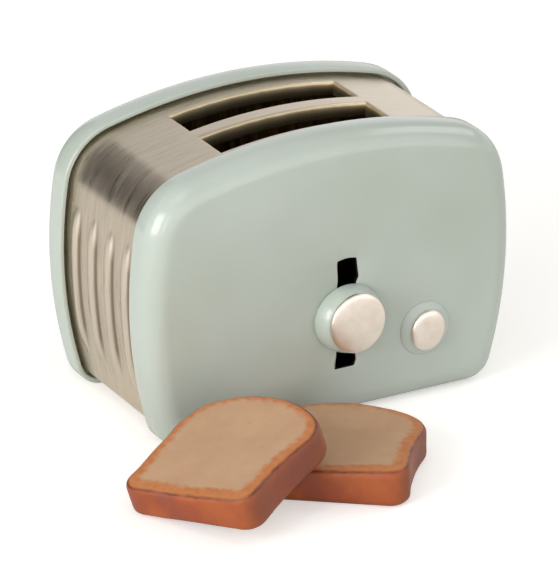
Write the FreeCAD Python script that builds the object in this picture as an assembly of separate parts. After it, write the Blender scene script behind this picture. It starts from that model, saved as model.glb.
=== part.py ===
import FreeCAD, Part
import math
import os

# A toy toaster with two loose slices of toast, in millimetres.
# X runs to the right, Y to the back and Z up. The origin is the middle of the underside.
# Two enamelled shells hold a steel band between them. A knob in the front slot moves a carriage
# with two trays up and down on two posts, inside the two bread wells.

V = FreeCAD.Vector

# Casing outline, seen from the front
CASE_WIDTH = 56.0
CASE_HEIGHT = 40.4
CASE_DEPTH = 31.0
WIDEST_HEIGHT = 20.2
SIDE_RADIUS = 63.0
TOP_RADIUS = 79.0
TOP_CORNER_RADIUS = 9.0

# Shells
SHELL_DEPTH = 5.6
SHELL_EDGE_RADIUS = 3.2
BOTTOM_CORNER_MARGIN = 0.8
FACE_THICKNESS = 0.7
RIM_THICKNESS = 0.7
SEAT_THICKNESS = 0.7
SEAT_STEP_BACK = 0.3
INNER_CORNER_MARGIN = 0.45
GROOVE_DEPTH = 1.6

# Band
BAND_STEP = 1.1
BAND_THICKNESS = 0.5
BAND_SEAT_CLEARANCE = 0.05
BAND_EDGE_CLEARANCE = 0.1
LIP_THICKNESS = 0.5
LIP_DEPTH = 2.0
RIB_COUNT = 4
RIB_PITCH = 4.75
RIB_WIDTH = 3.2
RIB_HEIGHT = 0.55
RIB_BOTTOM = 6.8
RIB_TOP = 28.0

# Slices of toast
SLICE_WIDTH = 22.2
SLICE_HEIGHT = 22.2
SLICE_THICKNESS = 4.8
SLICE_BASE_WIDTH = 21.0
SLICE_BASE_RADIUS = 2.8
SLICE_LOBE_RADIUS = 5.0
SLICE_CROWN_RADIUS = 15.0
SLICE_WAIST_RADIUS = 40.0
SLICE_EDGE_RADIUS = 1.0
LOWER_SLICE_X = -7.05
LOWER_SLICE_FORWARD = 13.59
LOWER_SLICE_TURN = -37.1
UPPER_SLICE_X = -24.32
UPPER_SLICE_FORWARD = 15.95
UPPER_SLICE_TURN = -62.8
SLICE_REST_GAP = 0.3
STEEPEST_LEAN = 60.0
LEAN_HALVINGS = 14

# Bread slots and wells
SLOT_END_CLEARANCE = 1.5
SLOT_SIDE_CLEARANCE = 0.55
SLOT_SPACING = 8.7
WELL_THICKNESS = 0.4
WELL_LIP_CLEARANCE = 0.1
WELL_TOP_CLEARANCE = 0.1
WELL_FLANGE_WIDTH = 1.2
WELL_FLANGE_LENGTH = 22.0

# Base plate
BASE_THICKNESS = 1.2
BASE_END_INSET = 7.5
BASE_SIDE_CLEARANCE = 0.15
BASE_BAND_GAP = 0.4

# Screws
SCREW_RADIUS = 0.8
SCREW_HOLE_CLEARANCE = 0.1
SCREW_HEAD_RADIUS = 1.5
PAN_HEAD_HEIGHT = 0.9
PAN_HEAD_EDGE_RADIUS = 0.3
PAN_HEAD_CLEARANCE = 0.15
CROSS_LENGTH = 1.86
CROSS_WIDTH = 0.4
CROSS_DEPTH = 0.45
PILOT_DEPTH_BEYOND = 1.0
SCREW_END_CLEARANCE = 0.2
BASE_SCREW_LENGTH = 3.8
BASE_SCREW_END_INSET = 3.5
BASE_SCREW_SIDE_INSET = 2.15
LUG_HEIGHT = 3.0
LUG_WALL = 1.1
TIE_SCREW_LENGTH = 10.0
TIE_HEAD_DEPTH = 1.5
TIE_BOSS_RADIUS = 2.1
TIE_BOSS_INSET = 4.9
TIE_BOSS_TOP_ANGLE = 14.0
REAR_BOSS_LENGTH = 7.5

# Guide posts and carriage
POST_RADIUS = 0.9
POST_TOP_CLEARANCE = 0.1
RUNNING_CLEARANCE = 0.05
BUSH_WALL = 0.5
BUSH_LENGTH = 5.0
BUSH_COLLAR_WIDTH = 0.35
BUSH_COLLAR_HEIGHT = 0.6
CARRIAGE_THICKNESS = 0.8
CARRIAGE_HEIGHT = 12.3
TRAY_SIDE_MARGIN = 0.15
TRAY_END_MARGIN = 1.3
TRAY_HOLE_COUNT = 3
TRAY_HOLE_LENGTH = 4.6
TRAY_HOLE_WIDTH = 1.6
NECK_WIDTH = 2.4
NECK_CLEARANCE = 0.4
CROSSBAR_GAP = 0.5
CROSSBAR_EDGE = 0.6

# Lever
LEVER_X = 1.8
LEVER_REST_HEIGHT = 14.8
LEVER_SLOT_WIDTH = 2.9
LEVER_SLOT_LENGTH = 15.4
LEVER_SLOT_HEIGHT = 15.15
SHANK_CLEARANCE = 0.15
KNOB_RADIUS = 5.05
KNOB_TOP_RADIUS = 4.25
KNOB_HEIGHT = 2.55
KNOB_EDGE_HEIGHT = 0.35
KNOB_BULGE_HEIGHT = 0.2
KNOB_SHANK_ROOT = 0.2
CAP_RADIUS = 4.1
CAP_RIM = 0.4
CAP_DOME = 0.6
CAP_STUD_RADIUS = 1.0
CAP_STUD_LENGTH = 0.5
FACE_GAP = 0.05
FRICTION_WASHER_THICKNESS = 0.6
FRICTION_WASHER_RADIUS = 3.2
FOOT_THICKNESS = 0.8
FOOT_WIDTH = 6.0
FOOT_ABOVE_SCREW = 3.0
LEVER_SCREW_LENGTH = 3.6

# Dial
DIAL_X = 13.8
DIAL_HEIGHT = 10.4
DIAL_RADIUS = 3.95
DIAL_RIM_HEIGHT = 0.2
DIAL_EDGE_RADIUS = 0.5
DIAL_SHANK_RADIUS = 1.2
DIAL_CAP_RADIUS = 2.55
DIAL_CAP_RIM = 0.3
DIAL_CAP_DOME = 0.4
DIAL_STUD_RADIUS = 0.7
DIAL_STUD_LENGTH = 0.4
DIAL_WASHER_RADIUS = 2.6
DIAL_WASHER_THICKNESS = 0.4
PUSH_NUT_RADIUS = 2.3
PUSH_NUT_THICKNESS = 0.5
DIAL_SHANK_END = 0.3

# How far a cutting block runs past what it cuts, and how near an edge is to be taken as in a plane
CUT_MARGIN = 1.0
IN_PLANE = 0.0001

# Places worked out from the sizes above
BOTTOM_CORNER_RADIUS = SHELL_EDGE_RADIUS + BOTTOM_CORNER_MARGIN
FRONT = -CASE_DEPTH / 2
FACE_INSIDE = FRONT + FACE_THICKNESS
RIM_Y = FRONT + SHELL_DEPTH
GROOVE_Y = RIM_Y - GROOVE_DEPTH
BAND_HALF_DEPTH = -GROOVE_Y - BAND_EDGE_CLEARANCE
BAND_INSIDE = BAND_STEP + BAND_THICKNESS
SEAT_INSET = BAND_INSIDE + BAND_SEAT_CLEARANCE
WALL_INSET = SEAT_INSET + SEAT_THICKNESS
INNER_EDGE_RADIUS = BOTTOM_CORNER_RADIUS - WALL_INSET - INNER_CORNER_MARGIN
BASE_HALF_LENGTH = CASE_WIDTH / 2 - BASE_END_INSET
BASE_HALF_DEPTH = -RIM_Y - BASE_SIDE_CLEARANCE
BASE_SCREW_X = BASE_HALF_LENGTH - BASE_SCREW_END_INSET
BASE_SCREW_Y = BASE_HALF_DEPTH - BASE_SCREW_SIDE_INSET
TIE_BOSS_MEET_Y = -FRONT - REAR_BOSS_LENGTH

SLOT_HALF_LENGTH = SLICE_WIDTH / 2 + SLOT_END_CLEARANCE
SLOT_HALF_WIDTH = SLICE_THICKNESS / 2 + SLOT_SIDE_CLEARANCE
SLOT_Y = SLOT_SPACING / 2
WELL_HALF_LENGTH = SLOT_HALF_LENGTH + LIP_THICKNESS + WELL_LIP_CLEARANCE
WELL_HALF_WIDTH = SLOT_HALF_WIDTH + LIP_THICKNESS + WELL_LIP_CLEARANCE / 2
WELL_OUTSIDE = WELL_HALF_LENGTH + WELL_THICKNESS

BUSH_BORE = POST_RADIUS + RUNNING_CLEARANCE
BUSH_RADIUS = BUSH_BORE + BUSH_WALL
CROSSBAR_INNER_X = WELL_OUTSIDE + CROSSBAR_GAP
POST_X = CROSSBAR_INNER_X + CROSSBAR_EDGE + BUSH_RADIUS
CROSSBAR_OUTER_X = POST_X + BUSH_RADIUS + CROSSBAR_EDGE
TRAY_HALF_WIDTH = SLICE_THICKNESS / 2 + TRAY_SIDE_MARGIN
TRAY_HALF_LENGTH = SLICE_WIDTH / 2 + TRAY_END_MARGIN
CARRIAGE_TOP = CARRIAGE_HEIGHT + CARRIAGE_THICKNESS

SHANK_WIDTH = LEVER_SLOT_WIDTH - 2 * SHANK_CLEARANCE
SLOT_END_REACH = (LEVER_SLOT_LENGTH - SHANK_WIDTH) / 2
TRAVEL_UP = LEVER_SLOT_HEIGHT + SLOT_END_REACH - LEVER_REST_HEIGHT
KNOB_BACK = FRONT - FACE_GAP
WASHER_FRONT = FACE_INSIDE + FACE_GAP
FOOT_FRONT = WASHER_FRONT + FRICTION_WASHER_THICKNESS
FOOT_BACK = FOOT_FRONT + FOOT_THICKNESS
CAP_BACK = KNOB_BACK - KNOB_HEIGHT

DIAL_THICKNESS = DIAL_EDGE_RADIUS + DIAL_RIM_HEIGHT
DIAL_FRONT = KNOB_BACK - DIAL_THICKNESS
PUSH_NUT_FRONT = WASHER_FRONT + DIAL_WASHER_THICKNESS
PUSH_NUT_BACK = PUSH_NUT_FRONT + PUSH_NUT_THICKNESS
TALL = 2 * CASE_HEIGHT
WIDE = 2 * CASE_WIDTH

LOWER_SLICE_Y = FRONT - LOWER_SLICE_FORWARD
UPPER_SLICE_Y = FRONT - UPPER_SLICE_FORWARD


def box(x_low, x_high, y_low, y_high, z_low, z_high):
    """A block between two values on each axis."""
    return Part.makeBox(x_high - x_low, y_high - y_low, z_high - z_low, V(x_low, y_low, z_low))


def rod(x, y, z, radius, length, direction):
    """A cylinder that starts at a point and runs along a direction."""
    return Part.makeCylinder(radius, length, V(x, y, z), direction)


def meeting_point(first, first_radius, second, second_radius):
    """The right-hand point that lies at two distances from two centres, first being the lower."""
    gap_x = second[0] - first[0]
    gap_y = second[1] - first[1]
    gap = math.hypot(gap_x, gap_y)
    along = (first_radius ** 2 - second_radius ** 2 + gap ** 2) / (2 * gap)
    across = math.sqrt(first_radius ** 2 - along ** 2)
    x = first[0] + (along * gap_x + across * gap_y) / gap
    y = first[1] + (along * gap_y - across * gap_x) / gap
    return (x, y)


def angle_between(start, end):
    """The direction from one point to another."""
    return math.atan2(end[1] - start[1], end[0] - start[0])


def arc(centre, radius, start, end):
    """An arc in the XY plane from one angle to another."""
    points = []
    for angle in (start, (start + end) / 2, end):
        points.append(V(centre[0] + radius * math.cos(angle), centre[1] + radius * math.sin(angle), 0))
    return Part.Arc(*points).toShape()


def symmetric_face(arcs):
    """A face from its right-hand arcs, bottom to top. The last one crosses the middle."""
    edges = []
    for centre, radius, start, end in arcs[:-1]:
        edges.append(arc(centre, radius, start, end))
    centre, radius, start = arcs[-1][:3]
    edges.append(arc(centre, radius, start, math.pi - start))
    for centre, radius, start, end in reversed(arcs[:-1]):
        edges.append(arc((-centre[0], centre[1]), radius, math.pi - end, math.pi - start))
    edges.append(Part.makeLine(edges[-1].Vertexes[-1].Point, edges[0].Vertexes[0].Point))
    return Part.Face(Part.Wire(edges))


def top_corner_centre():
    """The centre of the right-hand top corner's arc, the same for every inset."""
    return meeting_point((0.0, CASE_HEIGHT - TOP_RADIUS), TOP_RADIUS - TOP_CORNER_RADIUS,
                         (CASE_WIDTH / 2 - SIDE_RADIUS, WIDEST_HEIGHT), SIDE_RADIUS - TOP_CORNER_RADIUS)


def case_block(inset, y_low, y_high):
    """The casing outline, drawn in by an inset, as a block between two depths."""
    side_centre = (CASE_WIDTH / 2 - SIDE_RADIUS, WIDEST_HEIGHT)
    top_centre = (0.0, CASE_HEIGHT - TOP_RADIUS)
    corner_centre = top_corner_centre()
    side_radius = SIDE_RADIUS - inset
    top_radius = TOP_RADIUS - inset
    bottom_radius = BOTTOM_CORNER_RADIUS - inset
    corner_radius = TOP_CORNER_RADIUS - inset
    rise = WIDEST_HEIGHT - BOTTOM_CORNER_RADIUS
    reach = math.sqrt((SIDE_RADIUS - BOTTOM_CORNER_RADIUS) ** 2 - rise ** 2)
    bottom_centre = (side_centre[0] + reach, BOTTOM_CORNER_RADIUS)
    low = angle_between(side_centre, bottom_centre)
    high = angle_between(side_centre, corner_centre)
    top = angle_between(top_centre, corner_centre)
    face = symmetric_face([
        (bottom_centre, bottom_radius, -math.pi / 2, low),
        (side_centre, side_radius, low, high),
        (corner_centre, corner_radius, high, top),
        (top_centre, top_radius, top, math.pi / 2),
    ])
    face.rotate(V(0, 0, 0), V(1, 0, 0), 90)
    face.translate(V(0, y_low, 0))
    return face.extrude(V(0, y_high - y_low, 0))


def case_half_width(height):
    """Half the casing's width at a height on its side arcs."""
    return CASE_WIDTH / 2 - SIDE_RADIUS + math.sqrt(SIDE_RADIUS ** 2 - (height - WIDEST_HEIGHT) ** 2)


def rounded_at(solid, y, radius):
    """A block with the edges of its face at one depth rounded."""
    edges = [e for e in solid.Edges
             if abs(e.BoundBox.YMin - y) < IN_PLANE and abs(e.BoundBox.YMax - y) < IN_PLANE]
    return solid.makeFillet(radius, edges)


def revolved(start, middle, end, corners, x, z):
    """An arc of radius and depth, closed by straight lines through the corners, turned about the
    front-to-back line through a point."""
    bend = Part.Arc(V(*start, 0), V(*middle, 0), V(*end, 0)).toShape()
    lines = Part.makePolygon([V(*p, 0) for p in [end] + corners + [start]])
    face = Part.Face(Part.Wire([bend] + lines.Edges))
    solid = face.revolve(V(0, 0, 0), V(0, 1, 0), 360)
    solid.translate(V(x, 0, z))
    return solid


def screw(head_height, countersunk, length):
    """A screw along +Z with its head's top at the origin and its tip above it."""
    if countersunk:
        head = Part.makeCone(SCREW_HEAD_RADIUS, SCREW_RADIUS, head_height)
        shank_start = 0.0
    else:
        head = Part.makeCylinder(SCREW_HEAD_RADIUS, head_height)
        head = head.makeFillet(PAN_HEAD_EDGE_RADIUS, [e for e in head.Edges if e.BoundBox.ZMax < IN_PLANE])
        shank_start = head_height
    body = head.fuse(Part.makeCylinder(SCREW_RADIUS, length, V(0, 0, shank_start)))
    reach = CROSS_LENGTH / 2
    half = CROSS_WIDTH / 2
    cross = box(-reach, reach, -half, half, -CUT_MARGIN, CROSS_DEPTH)
    cross = cross.fuse(box(-half, half, -reach, reach, -CUT_MARGIN, CROSS_DEPTH))
    return body.cut(cross).removeSplitter()


def turned(shape, x, y, z, axis, angle):
    """A copy turned about an axis through the origin and then moved to a point."""
    copy = shape.copy()
    copy.rotate(V(0, 0, 0), axis, angle)
    copy.translate(V(x, y, z))
    return copy


def tie_boss_places():
    """The x and z of the four long screw bosses, from the casing outline."""
    bottom_x = case_half_width(TIE_BOSS_INSET) - TIE_BOSS_INSET
    corner_x, corner_z = top_corner_centre()
    out = TOP_CORNER_RADIUS - TIE_BOSS_INSET
    angle = math.radians(TIE_BOSS_TOP_ANGLE)
    top_x = corner_x + out * math.cos(angle)
    top_z = corner_z + out * math.sin(angle)
    places = []
    for side in (-1, 1):
        places.append((side * bottom_x, TIE_BOSS_INSET))
        places.append((side * top_x, top_z))
    return places


def shell_blank():
    """The front cup with its grooved rim and the two lugs that the base plate screws to."""
    past_rim = RIM_Y + CUT_MARGIN
    cup = rounded_at(case_block(0, FRONT, RIM_Y), FRONT, SHELL_EDGE_RADIUS)
    cup = cup.cut(rounded_at(case_block(WALL_INSET, FACE_INSIDE, past_rim), FACE_INSIDE, INNER_EDGE_RADIUS))
    groove = case_block(RIM_THICKNESS, GROOVE_Y, past_rim)
    groove = groove.cut(case_block(SEAT_INSET, GROOVE_Y - CUT_MARGIN, RIM_Y - SEAT_STEP_BACK))
    cup = cup.cut(groove)
    lug_half = SCREW_RADIUS + LUG_WALL
    for side in (-1, 1):
        x = side * BASE_SCREW_X
        lug = box(x - lug_half, x + lug_half, GROOVE_Y - FACE_THICKNESS, -BASE_SCREW_Y + lug_half,
                  BASE_THICKNESS, BASE_THICKNESS + LUG_HEIGHT)
        cup = cup.fuse(lug)
        pilot = rod(x, -BASE_SCREW_Y, 0, SCREW_RADIUS, BASE_THICKNESS + LUG_HEIGHT + CUT_MARGIN, V(0, 0, 1))
        cup = cup.cut(pilot)
    return cup


def front_shell():
    """The front cup with the lever slot, the dial's hole and four long bosses."""
    shell = shell_blank()
    for x, z in tie_boss_places():
        length = TIE_BOSS_MEET_Y - FACE_INSIDE + FACE_THICKNESS / 2
        boss = rod(x, TIE_BOSS_MEET_Y - length, z, TIE_BOSS_RADIUS, length, V(0, 1, 0))
        shell = shell.fuse(boss)
    for x, z in tie_boss_places():
        depth = TIE_SCREW_LENGTH - (REAR_BOSS_LENGTH - TIE_HEAD_DEPTH) + PILOT_DEPTH_BEYOND
        shell = shell.cut(rod(x, TIE_BOSS_MEET_Y - depth, z, SCREW_RADIUS, depth, V(0, 1, 0)))
    cut_front = FRONT - CUT_MARGIN
    cut_back = FACE_INSIDE + CUT_MARGIN
    slot = box(LEVER_X - LEVER_SLOT_WIDTH / 2, LEVER_X + LEVER_SLOT_WIDTH / 2, cut_front, cut_back,
               LEVER_SLOT_HEIGHT - LEVER_SLOT_LENGTH / 2, LEVER_SLOT_HEIGHT + LEVER_SLOT_LENGTH / 2)
    shell = shell.cut(slot)
    hole = rod(DIAL_X, cut_front, DIAL_HEIGHT, DIAL_SHANK_RADIUS + RUNNING_CLEARANCE, cut_back - cut_front,
               V(0, 1, 0))
    return shell.cut(hole)


def rear_shell():
    """The rear cup, with four short bosses that take the long screws from behind."""
    shell = shell_blank().mirror(V(0, 0, 0), V(0, 1, 0))
    back = -FRONT
    for x, z in tie_boss_places():
        length = back - FACE_THICKNESS / 2 - TIE_BOSS_MEET_Y
        shell = shell.fuse(rod(x, TIE_BOSS_MEET_Y, z, TIE_BOSS_RADIUS, length, V(0, 1, 0)))
    for x, z in tie_boss_places():
        hole_radius = SCREW_RADIUS + SCREW_HOLE_CLEARANCE
        recess_radius = SCREW_HEAD_RADIUS + PAN_HEAD_CLEARANCE
        shell = shell.cut(rod(x, TIE_BOSS_MEET_Y - CUT_MARGIN, z, hole_radius, CASE_DEPTH, V(0, 1, 0)))
        shell = shell.cut(rod(x, back - TIE_HEAD_DEPTH, z, recess_radius, CASE_DEPTH, V(0, 1, 0)))
    return shell


def rib_core(side, y, radius, centre_radius):
    """A sausage that follows the side arc. What stands out of the band is the rib."""
    centre_x = side * (CASE_WIDTH / 2 - SIDE_RADIUS)
    half = RIB_WIDTH / 2
    low = math.asin((RIB_BOTTOM + half - WIDEST_HEIGHT) / centre_radius)
    high = math.asin((RIB_TOP - half - WIDEST_HEIGHT) / centre_radius)
    ends = []
    for angle in (low, high):
        ends.append(V(centre_x + side * centre_radius * math.cos(angle), y,
                      WIDEST_HEIGHT + centre_radius * math.sin(angle)))
    section = Part.Wire(Part.Circle(ends[0], V(-side * math.sin(low), 0, math.cos(low)), radius).toShape())
    sweep = math.degrees(high - low)
    core = Part.Face(section).revolve(V(centre_x, y, WIDEST_HEIGHT), V(0, -side, 0), sweep)
    for end in ends:
        core = core.fuse(Part.makeSphere(radius, end))
    return core


def rib_places():
    """The depths of the ribs, evenly spaced about the middle."""
    return [(i - (RIB_COUNT - 1) / 2) * RIB_PITCH for i in range(RIB_COUNT)]


def band_side(block, extra):
    """A casing block with the ribs' cores added to both ends, grown by an extra radius."""
    rib_radius = ((RIB_WIDTH / 2) ** 2 + RIB_HEIGHT ** 2) / (2 * RIB_HEIGHT)
    centre_radius = SIDE_RADIUS - BAND_STEP + RIB_HEIGHT - rib_radius
    for side in (-1, 1):
        for y in rib_places():
            block = block.fuse(rib_core(side, y, rib_radius + extra, centre_radius))
    return block


def centre_band():
    """The steel band with pressed ribs on its ends and two lipped slots in its top."""
    depth = BAND_HALF_DEPTH
    past = depth + CUT_MARGIN
    outer = band_side(case_block(BAND_STEP, -depth, depth), 0.0)
    inner = band_side(case_block(BAND_INSIDE, -past, past), -BAND_THICKNESS)
    band = outer.cut(inner)
    skin = case_block(BAND_STEP, -depth, depth).cut(case_block(BAND_STEP + LIP_DEPTH, -past, past))
    for side in (-1, 1):
        y = side * SLOT_Y
        length = SLOT_HALF_LENGTH + LIP_THICKNESS
        width = SLOT_HALF_WIDTH + LIP_THICKNESS
        lip = box(-length, length, y - width, y + width, WIDEST_HEIGHT, TALL)
        band = band.fuse(lip.common(skin))
    for side in (-1, 1):
        y = side * SLOT_Y
        slot = box(-SLOT_HALF_LENGTH, SLOT_HALF_LENGTH, y - SLOT_HALF_WIDTH, y + SLOT_HALF_WIDTH,
                   WIDEST_HEIGHT, TALL)
        band = band.cut(slot)
    opening = BASE_HALF_LENGTH + BASE_BAND_GAP
    return band.cut(box(-opening, opening, -past, past, -CUT_MARGIN, BASE_THICKNESS + BAND_INSIDE))


def base_plate():
    """The flat plate that closes the underside, with countersunk holes and the posts' holes."""
    plate = box(-BASE_HALF_LENGTH, BASE_HALF_LENGTH, -BASE_HALF_DEPTH, BASE_HALF_DEPTH, 0, BASE_THICKNESS)
    hole_radius = SCREW_RADIUS + SCREW_HOLE_CLEARANCE
    sink_depth = SCREW_HEAD_RADIUS - SCREW_RADIUS
    sink = Part.makeCone(SCREW_HEAD_RADIUS, SCREW_RADIUS, sink_depth)
    drill = BASE_THICKNESS + 2 * CUT_MARGIN
    for side_x in (-1, 1):
        for side_y in (-1, 1):
            x = side_x * BASE_SCREW_X
            y = side_y * BASE_SCREW_Y
            plate = plate.cut(rod(x, y, -CUT_MARGIN, hole_radius, drill, V(0, 0, 1)))
            plate = plate.cut(sink.translated(V(x, y, 0)))
        plate = plate.cut(rod(side_x * POST_X, 0, -CUT_MARGIN, POST_RADIUS, drill, V(0, 0, 1)))
    return plate


def base_screws():
    """Four countersunk screws up through the base plate into the shells' lugs."""
    one = screw(SCREW_HEAD_RADIUS - SCREW_RADIUS, True, BASE_SCREW_LENGTH)
    places = [(x, y) for x in (-BASE_SCREW_X, BASE_SCREW_X) for y in (-BASE_SCREW_Y, BASE_SCREW_Y)]
    return Part.makeCompound([one.translated(V(x, y, 0)) for x, y in places])


def tie_screws():
    """Four pan-head screws that draw the rear shell to the front shell's bosses."""
    one = screw(PAN_HEAD_HEIGHT, False, TIE_SCREW_LENGTH)
    head_top = -FRONT - TIE_HEAD_DEPTH + PAN_HEAD_HEIGHT
    return Part.makeCompound([turned(one, x, head_top, z, V(1, 0, 0), 90) for x, z in tie_boss_places()])


def well(side):
    """A thin sheet chute from the base plate up to one slot's lips."""
    y = side * SLOT_Y
    half_length = WELL_HALF_LENGTH
    half_width = WELL_HALF_WIDTH
    t = WELL_THICKNESS
    walls = box(-WELL_OUTSIDE, WELL_OUTSIDE, y - half_width - t, y + half_width + t, BASE_THICKNESS, TALL)
    walls = walls.cut(box(-half_length, half_length, y - half_width, y + half_width, 0, TALL + CUT_MARGIN))
    above = box(-WIDE, WIDE, -CASE_DEPTH, CASE_DEPTH, WIDEST_HEIGHT, TALL + CUT_MARGIN)
    walls = walls.cut(above.cut(case_block(BAND_INSIDE + WELL_TOP_CLEARANCE, -CASE_DEPTH, CASE_DEPTH)))
    edge = abs(y) + half_width + t
    flange_low = min(side * (edge - t), side * (edge + WELL_FLANGE_WIDTH))
    flange_high = max(side * (edge - t), side * (edge + WELL_FLANGE_WIDTH))
    walls = walls.fuse(box(-WELL_FLANGE_LENGTH / 2, WELL_FLANGE_LENGTH / 2, flange_low, flange_high,
                           BASE_THICKNESS, BASE_THICKNESS + t))
    slit_top = CARRIAGE_TOP + TRAVEL_UP + NECK_CLEARANCE
    slit_half = NECK_WIDTH / 2 + NECK_CLEARANCE
    past_end = WELL_OUTSIDE + CUT_MARGIN
    walls = walls.cut(box(-past_end, -half_length + t / 2, y - slit_half, y + slit_half, 0, slit_top))
    walls = walls.cut(box(half_length - t / 2, past_end, y - slit_half, y + slit_half, 0, slit_top))
    if side < 0:
        past_flange = edge + WELL_FLANGE_WIDTH + CUT_MARGIN
        walls = walls.cut(box(LEVER_X - slit_half, LEVER_X + slit_half, -past_flange, -edge + t + t / 2,
                              0, slit_top))
    return walls


def guide_post(side):
    """A round post from the base plate to just under the band."""
    ceiling = CASE_HEIGHT - TOP_RADIUS + math.sqrt((TOP_RADIUS - BAND_INSIDE) ** 2 - POST_X ** 2)
    top = ceiling - POST_TOP_CLEARANCE - POST_RADIUS * POST_X / TOP_RADIUS
    return rod(side * POST_X, 0, 0, POST_RADIUS, top, V(0, 0, 1))


def carriage():
    """Two trays on end bars, with an arm that turns up into a foot behind the lever slot."""
    low = CARRIAGE_HEIGHT
    high = CARRIAGE_TOP
    neck = NECK_WIDTH / 2
    sheet = None
    for side in (-1, 1):
        y = side * SLOT_Y
        tray = box(-TRAY_HALF_LENGTH, TRAY_HALF_LENGTH, y - TRAY_HALF_WIDTH, y + TRAY_HALF_WIDTH, low, high)
        tray = tray.fuse(box(-CROSSBAR_OUTER_X, CROSSBAR_OUTER_X, y - neck, y + neck, low, high))
        pitch = 2 * TRAY_HALF_LENGTH / TRAY_HOLE_COUNT
        for i in range(TRAY_HOLE_COUNT):
            x = (i - (TRAY_HOLE_COUNT - 1) / 2) * pitch
            tray = tray.cut(box(x - TRAY_HOLE_LENGTH / 2, x + TRAY_HOLE_LENGTH / 2,
                                y - TRAY_HOLE_WIDTH / 2, y + TRAY_HOLE_WIDTH / 2,
                                low - CUT_MARGIN, high + CUT_MARGIN))
        sheet = tray if sheet is None else sheet.fuse(tray)
    bar_half = SLOT_Y + neck
    for low_x, high_x in ((-CROSSBAR_OUTER_X, -CROSSBAR_INNER_X), (CROSSBAR_INNER_X, CROSSBAR_OUTER_X)):
        sheet = sheet.fuse(box(low_x, high_x, -bar_half, bar_half, low, high))
    sheet = sheet.fuse(box(LEVER_X - neck, LEVER_X + neck, FOOT_FRONT, -SLOT_Y - neck, low, high))
    foot_top = LEVER_REST_HEIGHT + FOOT_ABOVE_SCREW
    sheet = sheet.fuse(box(LEVER_X - FOOT_WIDTH / 2, LEVER_X + FOOT_WIDTH / 2, FOOT_FRONT, FOOT_BACK,
                           low, foot_top))
    for side in (-1, 1):
        sheet = sheet.cut(rod(side * POST_X, 0, low - CUT_MARGIN, BUSH_RADIUS,
                              CARRIAGE_THICKNESS + 2 * CUT_MARGIN, V(0, 0, 1)))
    hole_radius = SCREW_RADIUS + SCREW_HOLE_CLEARANCE
    sheet = sheet.cut(rod(LEVER_X, FOOT_FRONT - CUT_MARGIN, LEVER_REST_HEIGHT, hole_radius,
                          FOOT_THICKNESS + 2 * CUT_MARGIN, V(0, 1, 0)))
    return sheet.removeSplitter()


def carriage_bush(side):
    """A collared bush, pressed up into the carriage, that runs on a post."""
    middle = (CARRIAGE_HEIGHT + CARRIAGE_TOP) / 2
    low = middle - BUSH_LENGTH / 2
    x = side * POST_X
    body = rod(x, 0, low, BUSH_RADIUS, BUSH_LENGTH, V(0, 0, 1))
    collar_low = CARRIAGE_HEIGHT - BUSH_COLLAR_HEIGHT
    body = body.fuse(rod(x, 0, collar_low, BUSH_RADIUS + BUSH_COLLAR_WIDTH, BUSH_COLLAR_HEIGHT, V(0, 0, 1)))
    bore = rod(x, 0, low - CUT_MARGIN, BUSH_BORE, BUSH_LENGTH + 2 * CUT_MARGIN, V(0, 0, 1))
    return body.cut(bore).removeSplitter()


def domed_cap(radius, rim, dome, stud_radius, stud_length, x, y, z):
    """A round cap with a shallow dome to the front and a short stud behind."""
    dome_radius = (radius ** 2 + dome ** 2) / (2 * dome)
    half_angle = math.asin(radius / dome_radius) / 2
    tip = (0, y - rim - dome)
    middle = (dome_radius * math.sin(half_angle), tip[1] + dome_radius * (1 - math.cos(half_angle)))
    corners = [(radius, y), (stud_radius, y), (stud_radius, y + stud_length), (0, y + stud_length)]
    return revolved(tip, middle, (radius, y - rim), corners, x, z)


def lever_knob():
    """The enamelled knob with its square shank, tapped for the lever screw."""
    base = KNOB_BACK - KNOB_EDGE_HEIGHT
    middle = ((KNOB_RADIUS + KNOB_TOP_RADIUS) / 2 + KNOB_BULGE_HEIGHT, (base + CAP_BACK) / 2)
    corners = [(0, CAP_BACK), (0, KNOB_BACK), (KNOB_RADIUS, KNOB_BACK)]
    knob = revolved((KNOB_RADIUS, base), middle, (KNOB_TOP_RADIUS, CAP_BACK), corners,
                    LEVER_X, LEVER_REST_HEIGHT)
    half = SHANK_WIDTH / 2
    z = LEVER_REST_HEIGHT
    knob = knob.fuse(box(LEVER_X - half, LEVER_X + half, KNOB_BACK - KNOB_SHANK_ROOT, FOOT_FRONT,
                         z - half, z + half))
    depth = LEVER_SCREW_LENGTH - FOOT_THICKNESS + SCREW_END_CLEARANCE
    knob = knob.cut(rod(LEVER_X, FOOT_FRONT, z, SCREW_RADIUS, depth, V(0, -1, 0)))
    return knob.cut(rod(LEVER_X, CAP_BACK, z, CAP_STUD_RADIUS, CAP_STUD_LENGTH, V(0, 1, 0)))


def lever_screw():
    """The screw through the carriage's foot into the knob's shank."""
    one = screw(PAN_HEAD_HEIGHT, False, LEVER_SCREW_LENGTH)
    return turned(one, LEVER_X, FOOT_BACK + PAN_HEAD_HEIGHT, LEVER_REST_HEIGHT, V(1, 0, 0), 90)


def washer(x, y, z, bore, radius, thickness):
    """A flat ring that starts at a depth and runs to the back."""
    ring = rod(x, y, z, radius, thickness, V(0, 1, 0))
    return ring.cut(rod(x, y - CUT_MARGIN, z, bore, thickness + 2 * CUT_MARGIN, V(0, 1, 0)))


def friction_washer():
    """The washer that rubs on the shell's inside and holds the lever where it is put."""
    bore = SHANK_WIDTH / math.sqrt(2) + RUNNING_CLEARANCE
    return washer(LEVER_X, WASHER_FRONT, LEVER_REST_HEIGHT, bore, FRICTION_WASHER_RADIUS,
                  FRICTION_WASHER_THICKNESS)


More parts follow.
